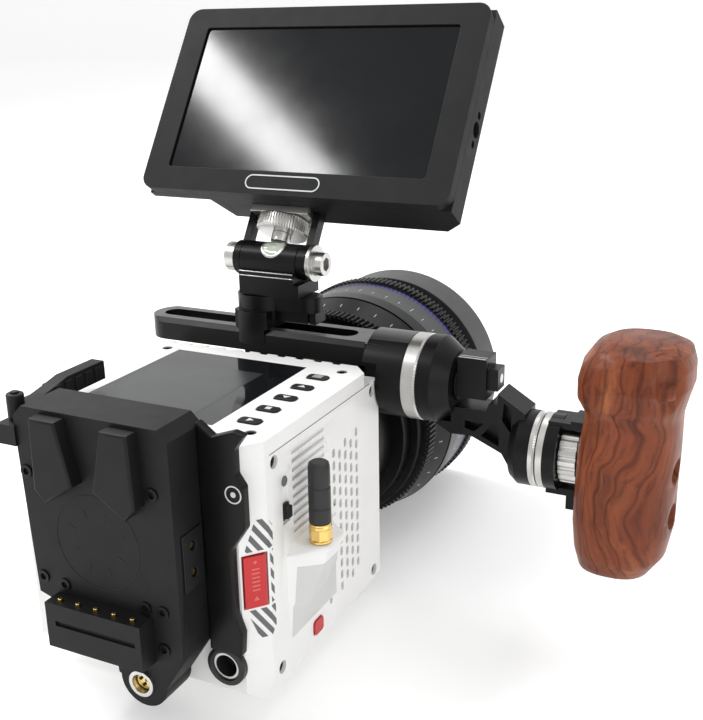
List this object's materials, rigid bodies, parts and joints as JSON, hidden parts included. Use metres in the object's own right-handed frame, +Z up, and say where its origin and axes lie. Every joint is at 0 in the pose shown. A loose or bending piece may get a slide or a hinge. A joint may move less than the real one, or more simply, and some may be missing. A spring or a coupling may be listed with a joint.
{
  "type": "cinema camera rig",
  "caption": "Cube cinema camera rigged with a cine lens, battery plate, slotted top rail, tilting monitor and wooden side grip.",
  "frame": {"origin": "mouth of the tripod thread in the camera's underside, below the middle of the body", "axes": "+Y along the optical axis, out of the lens; +X to the side grip (the operator's right); +Z up"},
  "size_m": [0.2427, 0.2684, 0.2459],
  "materials": {
    "white_paint": "satin white paint",
    "black_anodised": "black anodised, fine satin",
    "grey_anodised": "dark grey anodised, satin",
    "bright_metal": "satin stainless",
    "gold_plate": "polished gold plate",
    "black_plastic": "fine-textured moulded plastic",
    "key_plastic": "smooth key plastic",
    "red_plastic": "glossy red",
    "screen_glass": "dark display glass",
    "lens_glass": "coated optical glass",
    "lens_grey": "dark grey enamel",
    "antenna_rubber": "matt rubber sleeve",
    "board_green": "circuit board",
    "grip_wood": "oiled reddish hardwood"
  },
  "bodies": {
    "camera": {"body_shell": "white_paint", "top_cover": "white_paint", "right_panel": "white_paint", "screen_glass": "screen_glass", "dc_socket": "bright_metal", "body_screws": "black_anodised", "antenna_jack": "gold_plate", "lens_mount": "bright_metal", "lens_adapter": "black_anodised", "sensor_block": "board_green", "main_board": "board_green", "fan_frame": "black_plastic", "battery_plate": "black_plastic", "plate_wing": "black_anodised", "contact_block": "black_plastic", "contact_pins": "gold_plate", "plate_screws": "black_anodised", "d_tap_socket": "black_plastic", "power_socket": "bright_metal", "lever_pin": "bright_metal", "top_rail": "grey_anodised", "hub_rosette": "bright_metal", "lens_barrel": "black_anodised", "lens_hood": "lens_grey", "lens_elements": "lens_glass"},
    "menu_button": {"menu_button": "key_plastic"},
    "up_button": {"up_button": "key_plastic"},
    "down_button": {"down_button": "key_plastic"},
    "select_button": {"select_button": "key_plastic"},
    "play_button": {"play_button": "key_plastic"},
    "rec_button": {"rec_button": "red_plastic"},
    "power_switch": {"power_switch": "key_plastic"},
    "media_door": {"media_door": "red_plastic"},
    "release_lever": {"release_lever": "black_plastic"},
    "antenna": {"antenna_nut": "gold_plate", "antenna_whip": "antenna_rubber"},
    "fan_rotor": {"fan_rotor": "black_plastic"},
    "focus_ring": {"focus_ring": "lens_grey"},
    "iris_ring": {"iris_ring": "black_anodised"},
    "mount_post": {"mount_post": "black_anodised", "post_bolt": "bright_metal"},
    "tilt_base": {"tilt_base": "black_anodised"},
    "tilt_bolt": {"tilt_bolt": "bright_metal"},
    "monitor": {"tilt_yoke": "black_anodised", "monitor_plate": "bright_metal", "monitor_bezel": "black_plastic", "monitor_back": "black_plastic", "monitor_glass": "screen_glass", "monitor_board": "board_green"},
    "thumbwheel": {"thumbwheel": "bright_metal", "stud_cap": "bright_metal"},
    "arm": {"arm_disc": "black_anodised", "extension_arm": "black_anodised", "arm_rosette": "bright_metal"},
    "clamp_lever": {"clamp_lever": "black_anodised"},
    "grip": {"grip_rosette": "bright_metal", "grip_adapter": "black_anodised", "wooden_grip": "grip_wood", "grip_screws": "black_anodised"},
    "ribbed_knob": {"ribbed_knob": "bright_metal"}
  },
  "joints": [
    {"name": "menu_press", "type": "slide", "parent": "camera", "child": "menu_button", "axis": [0, 0, 1], "range_m": [-0.0006, 0], "stiffness_N_per_m": 350, "springref_m": 0.0004},
    {"name": "up_press", "type": "slide", "parent": "camera", "child": "up_button", "axis": [0, 0, 1], "range_m": [-0.0006, 0], "stiffness_N_per_m": 350, "springref_m": 0.0004},
    {"name": "down_press", "type": "slide", "parent": "camera", "child": "down_button", "axis": [0, 0, 1], "range_m": [-0.0006, 0], "stiffness_N_per_m": 350, "springref_m": 0.0004},
    {"name": "select_press", "type": "slide", "parent": "camera", "child": "select_button", "axis": [0, 0, 1], "range_m": [-0.0006, 0], "stiffness_N_per_m": 350, "springref_m": 0.0004},
    {"name": "play_press", "type": "slide", "parent": "camera", "child": "play_button", "axis": [0, 0, 1], "range_m": [-0.0006, 0], "stiffness_N_per_m": 350, "springref_m": 0.0004},
    {"name": "rec_press", "type": "slide", "parent": "camera", "child": "rec_button", "axis": [1, 0, 0], "range_m": [-0.0006, 0], "stiffness_N_per_m": 350, "springref_m": 0.0004},
    {"name": "power_slide", "type": "slide", "parent": "camera", "child": "power_switch", "axis": [0, 0, 1], "range_m": [0, 0.005]},
    {"name": "media_door_hinge", "type": "hinge", "parent": "camera", "child": "media_door", "pos_m": [0.04892, -0.04163, 0], "axis": [0, 0, 1], "range_deg": [0, 95]},
    {"name": "release_lever_pivot", "type": "hinge", "parent": "camera", "child": "release_lever", "pos_m": [-0.0358, -0.062, 0.105], "axis": [0, 0, 1], "range_deg": [0, 12], "stiffness_Nm_per_rad": 0.4, "springref_deg": -8.59},
    {"name": "antenna_spin", "type": "hinge", "parent": "camera", "child": "antenna", "pos_m": [0.059, -0.0177, 0.06], "axis": [0, 0, 1], "continuous": true},
    {"name": "fan_spin", "type": "hinge", "parent": "camera", "child": "fan_rotor", "pos_m": [0.04, 0.018, 0.0435], "axis": [1, 0, 0], "continuous": true},
    {"name": "focus_turn", "type": "hinge", "parent": "camera", "child": "focus_ring", "pos_m": [0, 0.14, 0.0479], "axis": [0, 1, 0], "range_deg": [-150, 150]},
    {"name": "iris_turn", "type": "hinge", "parent": "camera", "child": "iris_ring", "pos_m": [0, 0.11, 0.0479], "axis": [0, 1, 0], "range_deg": [-40, 40]},
    {"name": "post_slide", "type": "slide", "parent": "camera", "child": "mount_post", "axis": [1, 0, 0], "range_m": [-0.04, 0.026]},
    {"name": "head_swivel", "type": "hinge", "parent": "mount_post", "child": "tilt_base", "pos_m": [-0.0103, 0.064, 0.117], "axis": [0, 0, 1], "range_deg": [-170, 170]},
    {"name": "monitor_tilt", "type": "hinge", "parent": "tilt_base", "child": "monitor", "pos_m": [-0.0035, 0.064, 0.134], "axis": [1, 0, 0], "range_deg": [-38, 100]},
    {"name": "tilt_bolt_turn", "type": "hinge", "parent": "tilt_base", "child": "tilt_bolt", "pos_m": [-0.0035, 0.064, 0.134], "axis": [1, 0, 0], "continuous": true},
    {"name": "thumbwheel_turn", "type": "hinge", "parent": "monitor", "child": "thumbwheel", "pos_m": [-0.0035, 0.07171, 0.14569], "axis": [0, 0.5505, 0.8348], "continuous": true},
    {"name": "arm_pivot", "type": "hinge", "parent": "camera", "child": "arm", "pos_m": [0.075, 0.064, 0.0908], "axis": [1, 0, 0], "range_deg": [-90, 90]},
    {"name": "clamp_lever_turn", "type": "hinge", "parent": "arm", "child": "clamp_lever", "pos_m": [0.09, 0.064, 0.0908], "axis": [1, 0, 0], "range_deg": [-30, 90]},
    {"name": "grip_pivot", "type": "hinge", "parent": "arm", "child": "grip", "pos_m": [0.119, 0.064, 0.067], "axis": [1, 0, 0], "range_deg": [-90, 90]},
    {"name": "knob_turn", "type": "hinge", "parent": "grip", "child": "ribbed_knob", "pos_m": [0.129, 0.064, 0.067], "axis": [1, 0, 0], "continuous": true}
  ]
}
